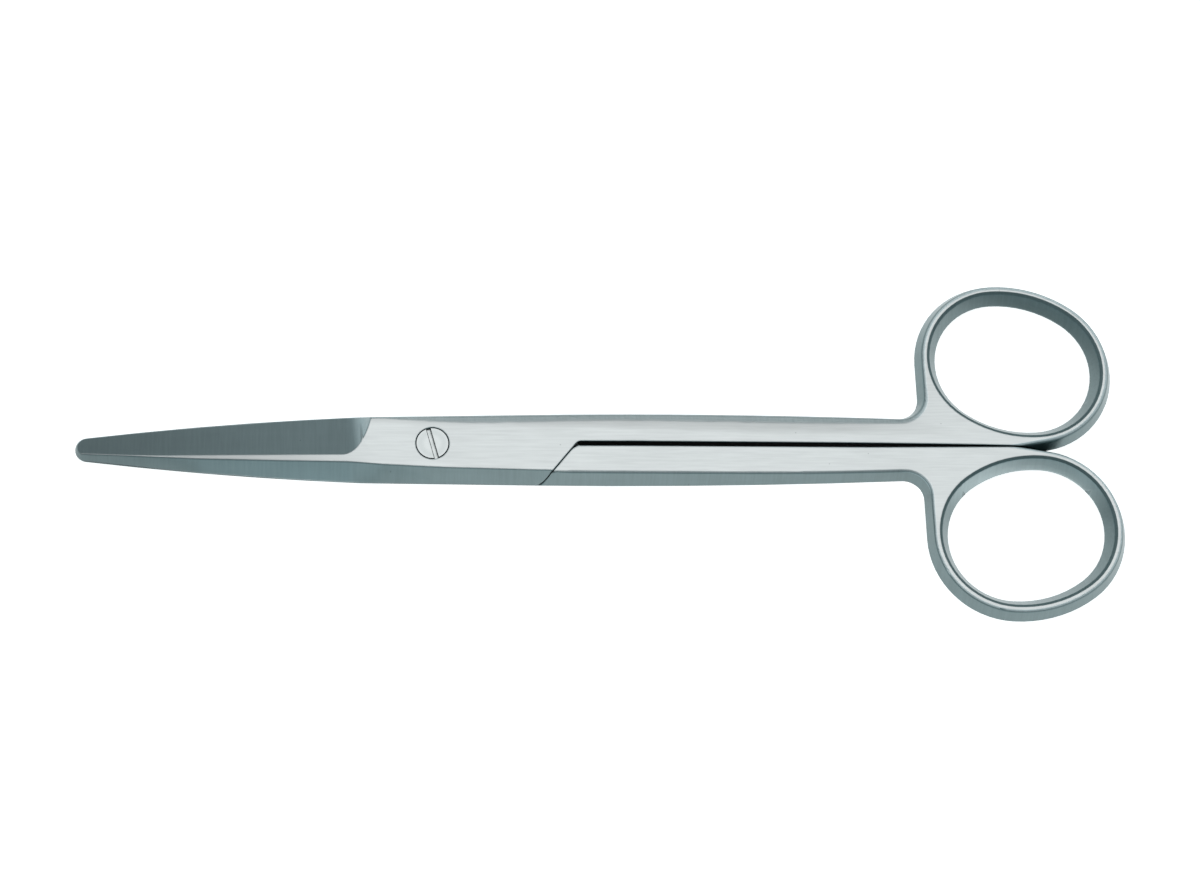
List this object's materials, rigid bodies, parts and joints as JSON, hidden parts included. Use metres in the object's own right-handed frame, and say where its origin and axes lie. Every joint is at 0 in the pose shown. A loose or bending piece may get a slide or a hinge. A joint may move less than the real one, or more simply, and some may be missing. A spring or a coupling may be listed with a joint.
{
  "type": "dissecting scissors",
  "caption": "Straight surgical dissecting scissors with bevelled blades, rounded tips, oval finger rings and a flush slotted pivot screw.",
  "frame": {"origin": "axis of the pivot screw, in the plane of the joint's back face", "axes": "+X along the closed scissors towards the finger rings, +Y towards the ring of the upper half, +Z out of the front face, where the screw's head is"},
  "size_m": [0.1702, 0.0588, 0.0064],
  "materials": {
    "satin_steel": "satin brushed along the length",
    "screw_steel": "turned and ground flush"
  },
  "bodies": {
    "lower": {"lower_half": "satin_steel", "pivot_screw": "screw_steel"},
    "upper": {"upper_half": "satin_steel"}
  },
  "joints": [
    {"name": "pivot", "type": "hinge", "parent": "lower", "child": "upper", "pos_m": [0, 0, 0.0032], "axis": [0, 0, 1], "range_deg": [0, 142]}
  ]
}
